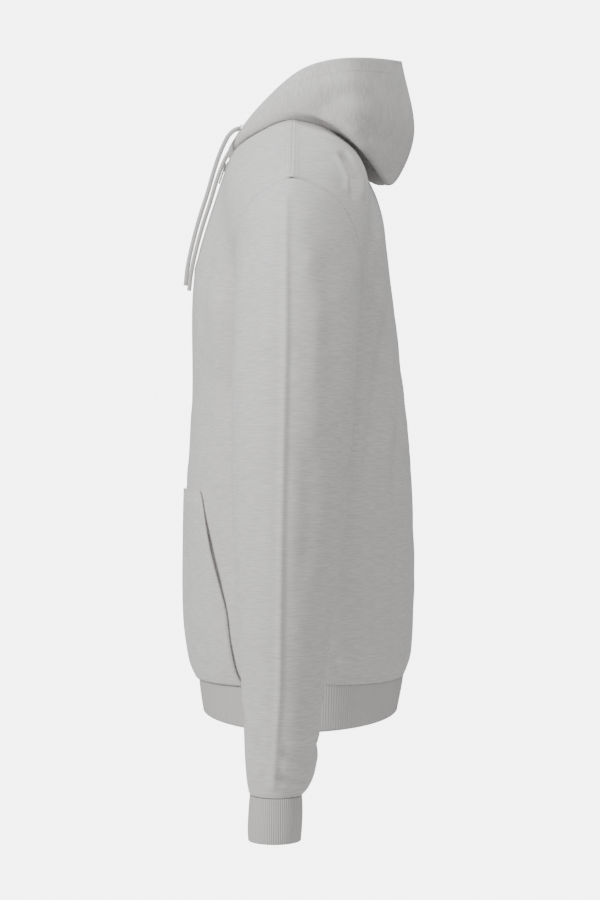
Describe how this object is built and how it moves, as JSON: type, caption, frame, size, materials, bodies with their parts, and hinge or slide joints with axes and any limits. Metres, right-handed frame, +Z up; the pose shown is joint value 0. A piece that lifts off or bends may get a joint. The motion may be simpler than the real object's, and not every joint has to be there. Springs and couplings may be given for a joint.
{
  "type": "zip-up hoodie",
  "caption": "Long-sleeved zip-up hooded sweatshirt in its filled-out worn shape, with an open hood, split front pocket, ribbed hem and cuffs, and a hinged zip pull.",
  "frame": {"origin": "middle of the neck, level with the tops of the shoulder seams, where the garment hangs on its wearer", "axes": "+Z up, -Y to the front of the garment, +X to the wearer's left"},
  "size_m": [0.673, 0.2659, 0.8307],
  "materials": {
    "jersey": "matt pale heather grey knit",
    "rib": "matt pale grey rib knit",
    "cord": "matt braided cord",
    "tape": "matt woven tape",
    "metal": "satin"
  },
  "bodies": {
    "garment": {"back": "jersey", "front_left": "jersey", "front_right": "jersey", "sleeve_left": "jersey", "sleeve_right": "jersey", "hood_left": "jersey", "hood_right": "jersey", "pocket_left": "jersey", "pocket_right": "jersey", "hem_band": "rib", "cuff_left": "rib", "cuff_right": "rib", "drawstring_left": "cord", "drawstring_right": "cord", "zip_tape_left": "tape", "zip_tape_right": "tape", "zip_chain": "metal", "zip_box": "metal", "zip_slider": "metal", "eyelet_left": "metal", "eyelet_right": "metal"},
    "pull_tab": {"zip_pull": "metal"}
  },
  "joints": [
    {"name": "pull_hinge", "type": "hinge", "parent": "garment", "child": "pull_tab", "pos_m": [0, -0.08582, -0.03693], "axis": [-1, 0, 0], "range_deg": [0, 140]}
  ]
}
